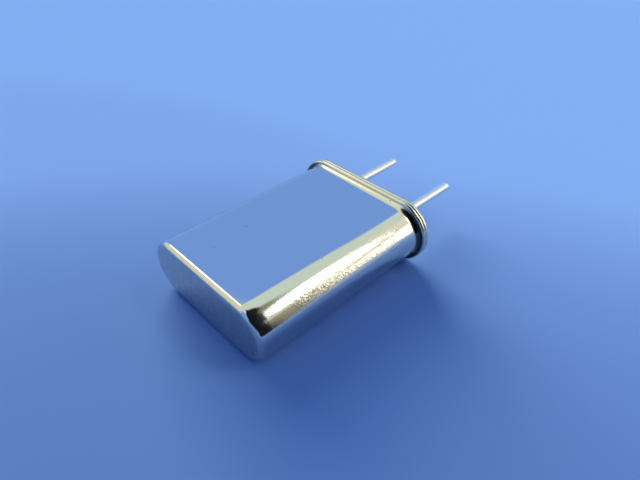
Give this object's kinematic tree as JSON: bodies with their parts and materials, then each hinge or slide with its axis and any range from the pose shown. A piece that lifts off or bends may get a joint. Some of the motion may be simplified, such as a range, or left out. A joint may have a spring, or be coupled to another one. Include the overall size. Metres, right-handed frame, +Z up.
{
  "type": "quartz crystal unit",
  "caption": "Sealed oval metal can with a welded rim and two wire leads, holding a slotted-clip mounted quartz disc that sets a circuit's frequency.",
  "frame": {"origin": "middle of the seating face under the base's flange, midway between the two leads", "axes": "+X across the width through both leads, +Y out of the seating face along the leads, +Z up through the thickness, with the can lying on its flat side"},
  "size_m": [0.0108, 0.0196, 0.0044],
  "materials": {
    "nickel_plate": "polished",
    "header_plate": "polished",
    "seal_glass": "gloss",
    "soldered_wire": "satin",
    "spring_strip": "satin",
    "quartz": "satin",
    "silver_film": "satin",
    "silver_cement": "matte"
  },
  "bodies": {
    "root": {"can": "nickel_plate", "base": "header_plate", "seal_left": "seal_glass", "seal_right": "seal_glass", "lead_left": "soldered_wire", "lead_right": "soldered_wire", "clip_left": "spring_strip", "clip_right": "spring_strip", "quartz_blank": "quartz", "electrode_top": "silver_film", "electrode_bottom": "silver_film", "cement_left": "silver_cement", "cement_right": "silver_cement"}
  },
  "joints": []
}
